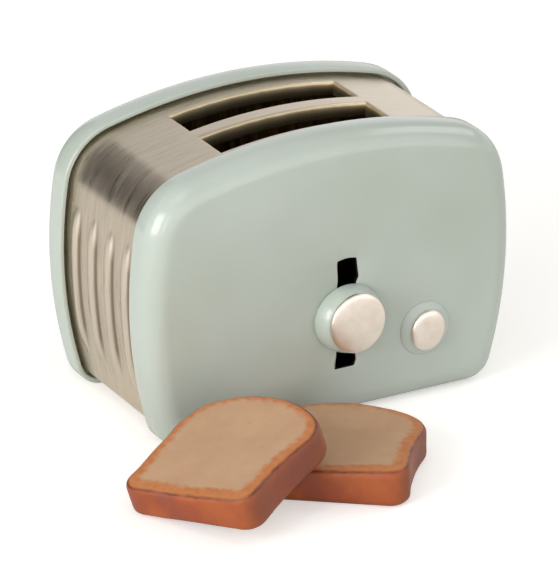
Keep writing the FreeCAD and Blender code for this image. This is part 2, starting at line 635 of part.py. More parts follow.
def dial_base():
    """The low enamelled disc of the dial, on a shank through the shell."""
    disc = rod(DIAL_X, DIAL_FRONT, DIAL_HEIGHT, DIAL_RADIUS, DIAL_THICKNESS, V(0, 1, 0))
    disc = rounded_at(disc, DIAL_FRONT, DIAL_EDGE_RADIUS)
    length = PUSH_NUT_BACK + DIAL_SHANK_END - KNOB_BACK
    disc = disc.fuse(rod(DIAL_X, KNOB_BACK, DIAL_HEIGHT, DIAL_SHANK_RADIUS, length, V(0, 1, 0)))
    return disc.cut(rod(DIAL_X, DIAL_FRONT, DIAL_HEIGHT, DIAL_STUD_RADIUS, DIAL_STUD_LENGTH, V(0, 1, 0)))


def toast_slice():
    """A slice lying flat about the origin, with its crown towards +Y."""
    middle = SLICE_HEIGHT / 2
    corner = (SLICE_BASE_WIDTH / 2 - SLICE_BASE_RADIUS, SLICE_BASE_RADIUS - middle)
    crown = (0.0, middle - SLICE_CROWN_RADIUS)
    lobe_x = SLICE_WIDTH / 2 - SLICE_LOBE_RADIUS
    lobe_rise = math.sqrt((SLICE_CROWN_RADIUS - SLICE_LOBE_RADIUS) ** 2 - lobe_x ** 2)
    lobe = (lobe_x, crown[1] + lobe_rise)
    waist = meeting_point(corner, SLICE_BASE_RADIUS + SLICE_WAIST_RADIUS,
                          lobe, SLICE_LOBE_RADIUS + SLICE_WAIST_RADIUS)
    low = angle_between(corner, waist)
    high = angle_between(lobe, waist)
    top = angle_between(crown, lobe)
    face = symmetric_face([
        (corner, SLICE_BASE_RADIUS, -math.pi / 2, low),
        (waist, SLICE_WAIST_RADIUS, low + math.pi, high + math.pi),
        (lobe, SLICE_LOBE_RADIUS, high, top),
        (crown, SLICE_CROWN_RADIUS, top, math.pi / 2),
    ])
    face.translate(V(0, 0, -SLICE_THICKNESS / 2))
    block = face.extrude(V(0, 0, SLICE_THICKNESS))
    rims = [e for e in block.Edges if e.BoundBox.ZLength < IN_PLANE]
    return block.makeFillet(SLICE_EDGE_RADIUS, rims)


def lower_slice():
    """The slice that lies flat on the table."""
    return turned(toast_slice(), LOWER_SLICE_X, LOWER_SLICE_Y, SLICE_THICKNESS / 2, V(0, 0, 1),
                  LOWER_SLICE_TURN)


def leaning_slice(lean):
    """The upper slice with its right-hand side raised and its lowest point on the table."""
    shape = toast_slice()
    shape.rotate(V(0, 0, 0), V(0, 0, 1), UPPER_SLICE_TURN)
    shape.rotate(V(0, 0, 0), V(0, -1, 0), lean)
    below = 2 * SLICE_HEIGHT
    ground = Part.makePlane(2 * below, 2 * below, V(-below, -below, -below))
    lowest = shape.distToShape(ground)[0] - below
    shape.translate(V(UPPER_SLICE_X, UPPER_SLICE_Y, -lowest))
    return shape


def upper_slice(under):
    """The slice that leans on the other one, at the lean that leaves the rest gap."""
    low = 0.0
    high = STEEPEST_LEAN
    for _ in range(LEAN_HALVINGS):
        lean = (low + high) / 2
        if leaning_slice(lean).distToShape(under)[0] < SLICE_REST_GAP:
            low = lean
        else:
            high = lean
    return leaning_slice(high)


def write(name, shape):
    """Check a piece and write it to its own file."""
    solids = shape.Solids
    volume = sum(s.Volume for s in solids)
    if not solids or not shape.isValid():
        raise ValueError(name + " is not a valid solid")
    shape = solids[0] if len(solids) == 1 else Part.makeCompound(solids)
    shape.exportStep("parts/" + name + ".step")
    size = shape.BoundBox
    print(f"{name:22s} {len(solids)} {volume:9.2f} x {size.XMin:7.2f} {size.XMax:7.2f} "
          f"y {size.YMin:7.2f} {size.YMax:7.2f} z {size.ZMin:7.2f} {size.ZMax:7.2f}")


os.makedirs("parts", exist_ok=True)

write("front_shell", front_shell())
write("rear_shell", rear_shell())
write("centre_band", centre_band())
write("base_plate", base_plate())
write("base_screws", base_screws())
write("tie_screws", tie_screws())
write("front_well", well(-1))
write("rear_well", well(1))
write("guide_post_left", guide_post(-1))
write("guide_post_right", guide_post(1))

write("carriage", carriage())
write("carriage_bush_left", carriage_bush(-1))
write("carriage_bush_right", carriage_bush(1))
write("lever_knob", lever_knob())
write("lever_cap", domed_cap(CAP_RADIUS, CAP_RIM, CAP_DOME, CAP_STUD_RADIUS, CAP_STUD_LENGTH,
                             LEVER_X, CAP_BACK, LEVER_REST_HEIGHT))
write("lever_screw", lever_screw())
write("friction_washer", friction_washer())

write("dial_base", dial_base())
write("dial_cap", domed_cap(DIAL_CAP_RADIUS, DIAL_CAP_RIM, DIAL_CAP_DOME, DIAL_STUD_RADIUS, DIAL_STUD_LENGTH,
                            DIAL_X, DIAL_FRONT, DIAL_HEIGHT))
write("dial_washer", washer(DIAL_X, WASHER_FRONT, DIAL_HEIGHT, DIAL_SHANK_RADIUS + RUNNING_CLEARANCE,
                            DIAL_WASHER_RADIUS, DIAL_WASHER_THICKNESS))
write("dial_push_nut", washer(DIAL_X, PUSH_NUT_FRONT, DIAL_HEIGHT, DIAL_SHANK_RADIUS,
                              PUSH_NUT_RADIUS, PUSH_NUT_THICKNESS))

lower = lower_slice()
write("lower_slice", lower)
write("upper_slice", upper_slice(lower))
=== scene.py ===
import math

import bmesh
import bpy
from mathutils import Matrix, Vector, kdtree, noise


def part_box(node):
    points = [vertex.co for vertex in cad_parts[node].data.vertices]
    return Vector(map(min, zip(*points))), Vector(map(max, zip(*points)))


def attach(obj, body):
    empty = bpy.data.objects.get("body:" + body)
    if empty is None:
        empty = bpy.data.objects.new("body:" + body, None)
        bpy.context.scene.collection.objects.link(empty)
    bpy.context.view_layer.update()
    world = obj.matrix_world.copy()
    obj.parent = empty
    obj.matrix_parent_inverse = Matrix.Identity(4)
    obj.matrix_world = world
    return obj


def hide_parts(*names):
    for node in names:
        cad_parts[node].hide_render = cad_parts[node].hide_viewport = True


# A toy toaster with two loose slices of toast. Meshes are modelled in millimetres and then scaled
# to metres. X runs to the right, Y to the back and Z up, from the middle of the underside.
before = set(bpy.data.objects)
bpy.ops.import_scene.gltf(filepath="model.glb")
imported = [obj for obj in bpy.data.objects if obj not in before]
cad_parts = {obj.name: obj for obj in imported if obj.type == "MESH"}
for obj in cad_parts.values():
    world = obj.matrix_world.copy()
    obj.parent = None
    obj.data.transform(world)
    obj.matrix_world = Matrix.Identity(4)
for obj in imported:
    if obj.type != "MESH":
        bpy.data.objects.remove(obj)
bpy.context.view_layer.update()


# Front shell. A shallow cup pressed from thin steel sheet and coated in mint enamel. Its face is slightly
# crowned, the lever's slot is cut by hand and the dial's hole drilled, and the band's edge tucks into
# its grooved rim.
MM = 0.001
CASE_WIDTH = 56.0
CASE_HEIGHT = 40.4
CASE_DEPTH = 31.0
WIDEST_HEIGHT = 20.2
CROWN_RADIUS = 79.0
CORNER_RADIUS = 9.0
SIDE_RADIUS = 63.0
FOOT_RADIUS = 4.0
BASE_REACHES = (0.93, 0.8, 0.55, 0.28, 0.0)

SHELL_DEPTH = 5.6
SHELL_EDGE_RADIUS = 3.2
SHELL_THICKNESS = 0.7
GROOVE_DEPTH = 1.6
SEAT_INSET = 1.65
SEAT_STEP_BACK = 0.3
WALL_INSET = 2.35
INNER_EDGE_RADIUS = 1.2
RIM_ROUNDING = 0.22
FACE_FALL = 0.3
FACE_BACK = -14.0
FACE_RINGS = ((0.985, 0.01), (0.92, 0.11), (0.85, 0.1), (0.72, 0.06), (0.5, 0.02))

LEVER_X = 1.8
SLOT_MIDDLE = 15.15
SLOT_LENGTH = 15.4
SLOT_WIDTH = 2.9
SLOT_DROP = 0.25
SLOT_HUMP = 0.2
SLOT_FOOT = 1.0
SLOT_CUTS = 31
SLOT_EDGE_RADIUS = 0.13
SLOT_EDGES = ((7.2, -0.2, -0.6), (7.65, -0.3, -0.12), (8.1, -0.32, 0.05), (8.9, -0.12, -0.1),
              (18.9, -0.05, -0.1), (19.4, -0.05, 0.0), (20.1, 0.05, 0.33), (21.1, 0.0, 0.2),
              (22.3, -0.08, 0.06), (22.9, 0.02, -0.04))

DIAL_X = 13.8
DIAL_Z = 10.4
DIAL_HOLE_RADIUS = 1.25
DIAL_HOLE_BORDER = 0.5
HOLE_SEGMENTS = 32

MINT = "#BAC3B9"
MINT_THIN = "#B5BEB2"
MINT_POOLED = "#BFC8BF"


def clockwise(centre, target, up):
    """The direction from one point to another, clockwise from an upward axis, with X to the right."""
    return math.atan2((target - centre).x, (target - centre)[up])


def between_arcs(low, low_radius, high, high_radius, up):
    """The right-hand point that lies at two distances from two centres."""
    gap = (high - low).length
    along = (low_radius ** 2 - high_radius ** 2 + gap ** 2) / (2 * gap)
    across = math.sqrt(low_radius ** 2 - along ** 2)
    straight = (high - low) / gap
    sideways = Vector((straight[up], 0.0, 0.0))
    sideways[up] = -straight.x
    return low + straight * along + sideways * across


def case_arcs():
    """The casing's right-hand arcs from the top to the bottom, as centre, sweep and steps."""
    crown = Vector((0.0, 0.0, CASE_HEIGHT - CROWN_RADIUS))
    side = Vector((CASE_WIDTH / 2 - SIDE_RADIUS, 0.0, WIDEST_HEIGHT))
    corner = between_arcs(crown, CROWN_RADIUS - CORNER_RADIUS, side, SIDE_RADIUS - CORNER_RADIUS, 2)
    reach = math.sqrt((SIDE_RADIUS - FOOT_RADIUS) ** 2 - (WIDEST_HEIGHT - FOOT_RADIUS) ** 2)
    foot = Vector((side.x + reach, 0.0, FOOT_RADIUS))
    bends = [0.0, clockwise(crown, corner, 2), clockwise(side, corner, 2), clockwise(side, foot, 2), math.pi]
    steps = (14, 14, 24, 8)
    centres = (crown, corner, side, foot)
    return [(centre, bends[i + 1] - bends[i], steps[i]) for i, centre in enumerate(centres)]


def spun_loop(bm, start, arcs, axis, fineness=1):
    """A closed outline: a vertex spun round the arcs, joined to the middle line and mirrored."""
    old = set(bm.edges)
    tip = bmesh.ops.create_vert(bm, co=start)["vert"][0]
    for centre, sweep, steps in arcs:
        level = centre.copy()
        if axis.y:
            level.y = start[1]
        else:
            level.z = start[2]
        spun = bmesh.ops.spin(bm, geom=[tip], cent=level, axis=axis, angle=sweep, steps=steps * fineness)
        tip = [v for v in spun["geom_last"] if isinstance(v, bmesh.types.BMVert)][0]
    edge_x = tip.co.x
    for reach in BASE_REACHES:
        tip = bmesh.ops.extrude_vert_indiv(bm, verts=[tip])["verts"][0]
        tip.co.x = edge_x * reach
    half = [e for e in bm.edges if e not in old]
    ends = list({v for e in half for v in e.verts})
    bmesh.ops.mirror(bm, geom=half + ends, matrix=Matrix(), merge_dist=0.001, axis="X")
    return [e for e in bm.edges if e not in old]


def case_loop(bm, inset, y, fineness=1):
    """The casing's outline at a depth, drawn in by an inset."""
    return spun_loop(bm, (0.0, y, CASE_HEIGHT - inset), case_arcs(), Vector((0, 1, 0)), fineness)


def bridged(bm, loops):
    """Walls between each loop and the next."""
    for near, far in zip(loops, loops[1:]):
        bmesh.ops.bridge_loops(bm, edges=near + far)


def largest_face(bm, direction):
    """The largest face that looks along a direction."""
    bm.normal_update()
    return max((f for f in bm.faces if f.normal.dot(direction) > 0.99), key=lambda f: f.calc_area())


def drawn_in(bm, face, shrink, shift, centre):
    """A face extruded and shrunk about a centre, with a ring of faces left round it."""
    inner = bmesh.ops.extrude_discrete_faces(bm, faces=[face])["faces"][0]
    scale = [1.0 if abs(n) > 0.9 else shrink for n in inner.normal]
    bmesh.ops.scale(bm, vec=scale, space=Matrix.Translation(-Vector(centre)), verts=inner.verts)
    bmesh.ops.translate(bm, vec=shift, verts=inner.verts)
    return inner


def shell_cup(bm, face_y):
    """The cup's section, from the outer face round the rim and the groove to the inner face."""
    rim = SHELL_DEPTH - CASE_DEPTH / 2
    floor = rim - GROOVE_DEPTH
    seat = rim - SEAT_STEP_BACK
    inside = SHELL_THICKNESS - CASE_DEPTH / 2
    section = [(0.0, face_y), (0.0, rim), (SHELL_THICKNESS, rim), (SHELL_THICKNESS, floor),
               (SEAT_INSET, floor), (SEAT_INSET, seat), (WALL_INSET, seat), (WALL_INSET, inside)]
    loops = [case_loop(bm, inset, y) for inset, y in section]
    bridged(bm, loops)
    bmesh.ops.edgeloop_fill(bm, edges=loops[0])
    bmesh.ops.edgeloop_fill(bm, edges=loops[-1])
    bmesh.ops.recalc_face_normals(bm, faces=bm.faces)
    for edges, radius, segments in ((loops[0], SHELL_EDGE_RADIUS, 10), (loops[-1], INNER_EDGE_RADIUS, 4),
                                    (loops[1] + loops[2], RIM_ROUNDING, 3)):
        bmesh.ops.bevel(bm, geom=edges, offset=radius, segments=segments, profile=0.5, affect="EDGES",
                        clamp_overlap=False, material=-1)


def finished_piece(name, bm, body, material, sharp=35.0):
    """A mesh in millimetres made an object in metres, smooth but for its sharp edges, on its body."""
    bmesh.ops.scale(bm, vec=(MM, MM, MM), verts=bm.verts)
    bmesh.ops.dissolve_degenerate(bm, dist=1e-7, edges=bm.edges)
    mesh = bpy.data.meshes.new(name)
    bm.to_mesh(mesh)
    bm.free()
    mesh.shade_smooth()
    mesh.set_sharp_from_angle(angle=math.radians(sharp))
    mesh.materials.append(material)
    piece = bpy.data.objects.new(name, mesh)
    bpy.context.scene.collection.objects.link(piece)
    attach(piece, body)
    return piece


def linear(colour):
    """An sRGB hex value as the linear colour that a shader takes."""
    parts = [int(colour[i:i + 2], 16) / 255 for i in (1, 3, 5)]
    return [p / 12.92 if p <= 0.04045 else ((p + 0.055) / 1.055) ** 2.4 for p in parts] + [1.0]


def add(tree, kind, inputs=None, stops=None, **settings):
    """Adds a node with its settings. An input given another node's output is linked to it."""
    node = tree.nodes.new(kind)
    for key, value in settings.items():
        setattr(node, key, value)
    for key, value in (inputs or {}).items():
        if isinstance(value, bpy.types.NodeSocket):
            tree.links.new(value, node.inputs[key])
        else:
            node.inputs[key].default_value = value
    for i, (position, colour) in enumerate(stops or ()):
        mark = node.color_ramp.elements[i] if i < 2 else node.color_ramp.elements.new(position)
        mark.position = position
        mark.color = linear(colour)
    return node


def new_material(name, **shader):
    """An empty material with its surface shader, whose plain values are set on its own sockets."""
    material = bpy.data.materials.new(name)
    material.use_nodes = True
    tree = material.node_tree
    surface = tree.nodes["Principled BSDF"]
    for key, value in shader.items():
        surface.inputs[key.replace("_", " ")].default_value = value
    place = add(tree, "ShaderNodeTexCoord").outputs["Object"]
    return material, tree, place


def noise_field(tree, place, size, detail=2.0, roughness=0.5):
    """A noise with features of a size in millimetres."""
    return add(tree, "ShaderNodeTexNoise", {"Vector": place, "Scale": 1 / (size * MM), "Detail": detail,
                                            "Roughness": roughness}).outputs["Fac"]


def ramp(tree, value, *stops):
    """A value turned into a colour between stops."""
    return add(tree, "ShaderNodeValToRGB", {"Fac": value}, stops=stops).outputs["Color"]


def ranged(tree, value, low, high, to_low=0.0, to_high=1.0, **settings):
    """A value's range stretched onto another range."""
    return add(tree, "ShaderNodeMapRange", {"Value": value, "From Min": low, "From Max": high,
                                            "To Min": to_low, "To Max": to_high}, **settings).outputs["Result"]


def mixed(tree, part, first, second):
    """Two colours mixed."""
    return add(tree, "ShaderNodeMix", {0: part, 6: first, 7: second}, data_type="RGBA").outputs[2]


def calc(tree, operation, *values):
    """A sum on values."""
    return add(tree, "ShaderNodeMath", dict(enumerate(values)), operation=operation).outputs["Value"]


def relief(tree, height, depth, **more):
    """A bump whose full height is a depth in millimetres."""
    return add(tree, "ShaderNodeBump", {"Height": height, "Strength": 1.0, "Distance": depth * MM,
                                        **more}).outputs["Normal"]


def wired(material, **outputs):
    """The material, with outputs linked to its shader's inputs."""
    for key, socket in outputs.items():
        surface = material.node_tree.nodes["Principled BSDF"]
        material.node_tree.links.new(socket, surface.inputs[key.replace("_", " ")])
    return material


def mint_enamel():
    """Vitreous enamel, sprayed and fired: a soft gloss under a clear glassy top, with slow waves, slightly
    thin in places."""
    material, tree, place = new_material("mint_vitreous_enamel", IOR=1.5, Coat_Weight=0.35,
                                         Coat_Roughness=0.1)
    cloud = noise_field(tree, place, 18)
    tint = ramp(tree, cloud, (0.3, MINT_THIN), (0.7, MINT_POOLED), (0.5, MINT))
    peel = noise_field(tree, place, 1.6, 1.0)
    gloss = ranged(tree, peel, 0.3, 0.7, 0.2, 0.26)
    wave = noise_field(tree, place, 9, 1.0)
    swell = relief(tree, wave, 0.06)
    return wired(material, Base_Color=tint, Roughness=gloss, Normal=swell)


def dark_cut_edge():
    """The sheet's cut edge in the slot and the dial's hole: near-black steel, dull."""
    material, tree, place = new_material("near_black_cut_edge", Metallic=0.6)
    grain = noise_field(tree, place, 0.4, 3.0)
    tint = ramp(tree, grain, (0.3, "#0D0B09"), (0.7, "#1C1915"))
    gloss = ranged(tree, grain, 0.0, 1.0, 0.6, 0.8)
    return wired(material, Base_Color=tint, Roughness=gloss)


def slot_edges(z):
    """How far the slot's left and right edges, filed by hand, stray at a height."""
    for (low, *near), (high, *far) in zip(SLOT_EDGES, SLOT_EDGES[1:]):
        if z <= high:
            part = max(0.0, (z - low) / (high - low))
            return [a + (b - a) * part for a, b in zip(near, far)]
    return SLOT_EDGES[-1][1:]


def opened(bm, left, right, low, high, margin):
    """Cuts a rectangle out of both walls of the cup's face, with cuts that run on to the faces within a
    margin of it, and gives the edges round it."""
    for point, side in (((left, 0, 0), (1, 0, 0)), ((right, 0, 0), (1, 0, 0)),
                        ((0, 0, low), (0, 0, 1)), ((0, 0, high), (0, 0, 1))):
        walls = [f for f in bm.faces if abs(f.normal.y) > 0.9 and f.calc_center_median().y < FACE_BACK
                 and min(v.co.x for v in f.verts) < right + margin
                 and max(v.co.x for v in f.verts) > left - margin
                 and min(v.co.z for v in f.verts) < high + margin
                 and max(v.co.z for v in f.verts) > low - margin]
        parts = {g for f in walls for g in (*f.verts, *f.edges, f)}
        bmesh.ops.bisect_plane(bm, geom=list(parts), plane_co=point, plane_no=side, dist=1e-5)
        bm.normal_update()
    inside = [f for f in bm.faces if left < f.calc_center_median().x < right
              and low < f.calc_center_median().z < high and f.calc_center_median().y < FACE_BACK]
    bmesh.ops.delete(bm, geom=inside, context="FACES")
    return [e for e in bm.edges if e.is_boundary]


enamel = mint_enamel()

front = bmesh.new()
shell_cup(front, FACE_FALL - CASE_DEPTH / 2)
face = largest_face(front, Vector((0, -1, 0)))
for shrink, rise in FACE_RINGS:
    face = drawn_in(front, face, shrink, (0, -rise, 0), (0, 0, WIDEST_HEIGHT))

slot_low = SLOT_MIDDLE - SLOT_LENGTH / 2
slot_high = SLOT_MIDDLE + SLOT_LENGTH / 2
slot_left = LEVER_X - SLOT_WIDTH / 2
slot_right = LEVER_X + SLOT_WIDTH / 2
slot_foot = slot_low + SLOT_FOOT
middle_y = (SHELL_THICKNESS - CASE_DEPTH) / 2
rims = opened(front, slot_left, slot_right, slot_low, slot_high, CASE_WIDTH)
bmesh.ops.subdivide_edges(front, edges=rims, cuts=SLOT_CUTS)
rims = [e for e in front.edges if e.is_boundary]
for v in {v for e in rims for v in e.verts}:
    across = (v.co.x - slot_left) / SLOT_WIDTH
    left, right = slot_edges(v.co.z)
    v.co.x += left + (right - left) * across
    if v.co.z > slot_high - 0.01:
        v.co.z += SLOT_HUMP * math.sin(math.pi * across)
    elif v.co.z < slot_foot:
        v.co.z -= SLOT_DROP * (slot_foot - v.co.z)
outer_rim = [e for e in rims if all(v.co.y < middle_y for v in e.verts)]
walls = bmesh.ops.bridge_loops(front, edges=rims)["faces"]
for f in walls:
    f.material_index = 1
bmesh.ops.recalc_face_normals(front, faces=front.faces)
bmesh.ops.bevel(front, geom=outer_rim, offset=SLOT_EDGE_RADIUS, segments=2, profile=0.5, affect="EDGES",
                clamp_overlap=False, material=0)

front.normal_update()
reach = DIAL_HOLE_RADIUS + DIAL_HOLE_BORDER
rims = opened(front, DIAL_X - reach, DIAL_X + reach, DIAL_Z - reach, DIAL_Z + reach, 0.0)
holes = []
for outside in (True, False):
    border = [e for e in rims if (e.verts[0].co.y < middle_y) == outside]
    level = sum(e.verts[0].co.y for e in border) / len(border)
    turned = Matrix.Translation((DIAL_X, level, DIAL_Z)) @ Matrix.Rotation(math.pi / 2, 4, "X")
    ring = bmesh.ops.create_circle(front, cap_ends=False, segments=HOLE_SEGMENTS, radius=DIAL_HOLE_RADIUS,
                                   matrix=turned)
    holes.append(list({e for v in ring["verts"] for e in v.link_edges}))
    bmesh.ops.triangle_fill(front, edges=border + holes[-1], use_beauty=True, normal=(0, -1, 0))
walls = bmesh.ops.bridge_loops(front, edges=holes[0] + holes[1])["faces"]
for f in walls:
    f.material_index = 1
bmesh.ops.recalc_face_normals(front, faces=front.faces)
front_cup = finished_piece("enamelled_front_shell", front, "toaster", enamel)
front_cup.data.materials.append(dark_cut_edge())
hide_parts("front_shell")


# Rear shell. The same pressing turned round, with a flat face and four round recesses, in which
# the heads of the long screws sit.
RECESS_RADIUS = 1.65
RECESS_DEPTH = 1.5
RECESS_EDGE = 0.12
SCREW_HEAD_RADIUS = 1.5
LOWER_SCREW_X = 21.24

tie_low, tie_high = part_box("tie_screws")
rear = bmesh.new()
shell_cup(rear, -CASE_DEPTH / 2)
face = largest_face(rear, Vector((0, -1, 0)))
face = drawn_in(rear, face, FACE_RINGS[0][0], (0, 0, 0), (0, 0, WIDEST_HEIGHT))
border = list(face.edges)
bmesh.ops.delete(rear, geom=[face], context="FACES_ONLY")
screw_places = []
for side in (-1, 1):
    screw_places.append((side * LOWER_SCREW_X, tie_low.z / MM + SCREW_HEAD_RADIUS))
    screw_places.append((side * (tie_high.x / MM - SCREW_HEAD_RADIUS), tie_high.z / MM - SCREW_HEAD_RADIUS))
rings = []
for x, z in screw_places:
    turned = Matrix.Translation((x, -CASE_DEPTH / 2, z)) @ Matrix.Rotation(math.pi / 2, 4, "X")
    ring = bmesh.ops.create_circle(rear, cap_ends=False, segments=HOLE_SEGMENTS, radius=RECESS_RADIUS,
                                   matrix=turned)
    rings.append(list({e for v in ring["verts"] for e in v.link_edges}))
bmesh.ops.triangle_fill(rear, edges=border + [e for ring in rings for e in ring], use_beauty=True,
                        normal=(0, -1, 0))
for ring in rings:
    for depth in (RECESS_EDGE, RECESS_DEPTH - RECESS_EDGE):
        grown = bmesh.ops.extrude_edge_only(rear, edges=ring)["geom"]
        verts = [g for g in grown if isinstance(g, bmesh.types.BMVert)]
        ring = [g for g in grown if isinstance(g, bmesh.types.BMEdge)
                and all(v in verts for v in g.verts)]
        bmesh.ops.translate(rear, vec=(0, depth, 0), verts=verts)
    bmesh.ops.edgeloop_fill(rear, edges=ring)
bmesh.ops.recalc_face_normals(rear, faces=rear.faces)
bmesh.ops.scale(rear, vec=(1, -1, 1), verts=rear.verts)
bmesh.ops.reverse_faces(rear, faces=rear.faces)
rear_cup = finished_piece("enamelled_rear_shell", rear, "toaster", enamel)
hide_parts("rear_shell")


# Centre band. A strip of thin stainless steel, brushed along its length and bent round, with four
# pressed ribs on each end and two slots in the top, whose edges are turned down into lips.
BAND_INSET = 1.1
BAND_THICKNESS = 0.5
BAND_HALF_DEPTH = 11.4
BAND_COLUMNS = 96
BASE_OPENING = 20.9
BASE_ZONE = 2.0
END_ZONE = 20.0
TOP_ZONE = 30.0
TOP_HALF_LENGTH = 18.0

RIB_PITCH = 4.75
RIB_REAR_HALF = 1.65
RIB_FRONT_HALF = 0.85
RIB_HEIGHT = 0.48
RIB_RUN_OUT = 4.2
RIB_SHADE_WIDTH = 0.34
RIB_BOTTOM = 6.8
RIB_TOP = 28.0

BREAD_SLOT_HALF_LENGTH = 12.6
BREAD_SLOT_HALF_WIDTH = 2.95
BREAD_SLOT_Y = 4.35
LIP_ROUNDING = 0.4
LIP_DEPTH = 2.0
LIP_WANDER = 0.05
LIP_STEPS = 4
# The lips' paint: a straw tint on the ends and the rounding as a painted highlight, darkening with depth as painted
# shade.
LIP_END_TINT = 0.5
LIP_EDGE_TINT = 0.3
LIP_SHADE_GAIN = 1.2

STEEL = "#DACEBC"
STEEL_DULL = "#C6B9A7"
# The next two colours: the ribs' crowns, partly wear and partly a painted highlight, and the painted shade at their
# front feet.
STEEL_WORN_SHEEN = "#E9DED0"
STEEL_CREASE_SHADE = "#80705F"
# The next two colours: the straw tint that paints a highlight on the lips, and the painted shade deep in the slots.
STEEL_STRAW = "#CDBC9A"
STEEL_SLOT_SHADE = "#52452E"


def rib(y, z):
    """A rib's height at a place on the band's end, from 0 to 1, and how strongly a painted shade darkens the foot
    of its front flank there.
    """
    offset = min((y - (i - 1.5) * RIB_PITCH for i in range(4)), key=abs)
    past = max(RIB_BOTTOM + RIB_RUN_OUT - z, z - RIB_TOP + RIB_RUN_OUT, 0.0) / RIB_RUN_OUT
    part = math.hypot(offset / (RIB_REAR_HALF if offset > 0 else RIB_FRONT_HALF), past)
    height = (1 - part ** 2) ** 1.1 if part < 1 else 0.0
    # A painted shade at the foot of the rib's front flank.
    crease_shade = math.exp(-((offset + RIB_FRONT_HALF) / RIB_SHADE_WIDTH) ** 2) * max(0.0, 1 - past)
    return height, crease_shade


def brushed_steel():
    """Stainless steel brushed round the band: fine streaks along it blur reflections across it. The ribs' crowns
    are painted brighter, partly as wear and partly as a painted highlight, and a painted shade darkens the foot of
    each rib's front flank. The slots' lips carry a straw tint on their rounding and ends, a painted highlight, and
    a painted shade that darkens them down into the slot."""
    material, tree, place = new_material("brushed_stainless_steel", Metallic=1.0, Anisotropic=0.4,
                                         Anisotropic_Rotation=0.25)
    rib_wear_sheen_and_shade = add(tree, "ShaderNodeAttribute", attribute_name="rib_wear_sheen_and_shade").outputs["Fac"]
    straw_and_shade = add(tree, "ShaderNodeAttribute", attribute_name="lip_straw_and_shade").outputs["Fac"]
    drawn = add(tree, "ShaderNodeMapping", {"Vector": place, "Scale": (0.05, 1.0, 0.05)})
    streak = noise_field(tree, drawn.outputs["Vector"], 0.28, 4.0, roughness=0.65)
    short = add(tree, "ShaderNodeMapping", {"Vector": place, "Scale": (0.14, 1.0, 0.14)})
    stroke = noise_field(tree, short.outputs["Vector"], 0.8, 3.0)
    both = add(tree, "ShaderNodeMix", {0: 0.4, 2: streak, 3: stroke},
               data_type="FLOAT")
    tint = ramp(tree, both.outputs[0], (0.36, STEEL_DULL), (0.64, STEEL))
    # Painted shade at the foot of each rib's front flank; the crowns painted brighter, partly wear and partly a
    # painted highlight.
    crease_shade = ranged(tree, rib_wear_sheen_and_shade, 0.5, 0.0)
    rubbed_sheen = ranged(tree, rib_wear_sheen_and_shade, 0.5, 1.0, 0.0, 0.6)
    crease_shaded = mixed(tree, crease_shade, tint, linear(STEEL_CREASE_SHADE))
    bright = mixed(tree, rubbed_sheen, crease_shaded, linear(STEEL_WORN_SHEEN))
    # A straw tint for a painted highlight on the lips' rounding and ends, turning to painted shade down into the
    # slot.
    warm = ranged(tree, straw_and_shade, 0.0, 0.5)
    deep_shade = ranged(tree, straw_and_shade, 0.5, 1.0)
    straw = mixed(tree, warm, bright, linear(STEEL_STRAW))
    tinted_and_shaded = mixed(tree, deep_shade, straw, linear(STEEL_SLOT_SHADE))
    brushed = ranged(tree, both.outputs[0], 0.3, 0.7, 0.24, 0.38)
    gloss = add(tree, "ShaderNodeMix", {0: straw_and_shade, 2: brushed, 3: 0.6}, data_type="FLOAT")
    scratch = relief(tree, streak, 0.006)
    sway = relief(tree, stroke, 0.018, Normal=scratch)
    tangent = add(tree, "ShaderNodeTangent", direction_type="RADIAL", axis="Y")
    return wired(material, Base_Color=tinted_and_shaded, Roughness=gloss.outputs[0], Normal=sway,
                 Tangent=tangent.outputs["Tangent"])


band = bmesh.new()
loop = case_loop(band, BAND_INSET, -BAND_HALF_DEPTH, fineness=3)
grown = bmesh.ops.extrude_edge_only(band, edges=loop)["geom"]
bmesh.ops.translate(band, vec=(0, 2 * BAND_HALF_DEPTH, 0),
                    verts=[g for g in grown if isinstance(g, bmesh.types.BMVert)])
long_edges = [e for e in band.edges if abs(e.verts[0].co.y - e.verts[1].co.y) > BAND_HALF_DEPTH]
bmesh.ops.subdivide_edges(band, edges=long_edges, cuts=BAND_COLUMNS - 1, use_grid_fill=True)
bmesh.ops.recalc_face_normals(band, faces=band.faces)

side_centre = CASE_WIDTH / 2 - SIDE_RADIUS
rib_wear_sheen_and_shade = band.verts.layers.float.new("rib_wear_sheen_and_shade")
lip_straw_and_shade = band.verts.layers.float.new("lip_straw_and_shade")
for v in band.verts:
    v[rib_wear_sheen_and_shade] = 0.5
    if abs(v.co.x) > END_ZONE:
        middle = Vector((math.copysign(side_centre, -v.co.x), v.co.y, WIDEST_HEIGHT))
        height, crease_shade = rib(v.co.y, v.co.z)
        v.co += (v.co - middle).normalized() * RIB_HEIGHT * height
        # Crowns painted brighter, partly wear and partly a painted highlight; a painted shade at the foot of each
        # front flank.
        v[rib_wear_sheen_and_shade] += 0.5 * height * (1 - crease_shade) - 0.5 * crease_shade


def cut_along(bm, point, normal, keep):
    """Cuts the faces that a test picks along a plane."""
    faces = [f for f in bm.faces if keep(f.calc_center_median())]
    parts = {g for f in faces for g in (*f.verts, *f.edges, f)}
    bmesh.ops.bisect_plane(bm, geom=list(parts), plane_co=point, plane_no=normal, dist=1e-4)


def on_top(point):
    """Whether a point lies on the band's top, between its corners."""
    return point.z > TOP_ZONE and abs(point.x) < TOP_HALF_LENGTH


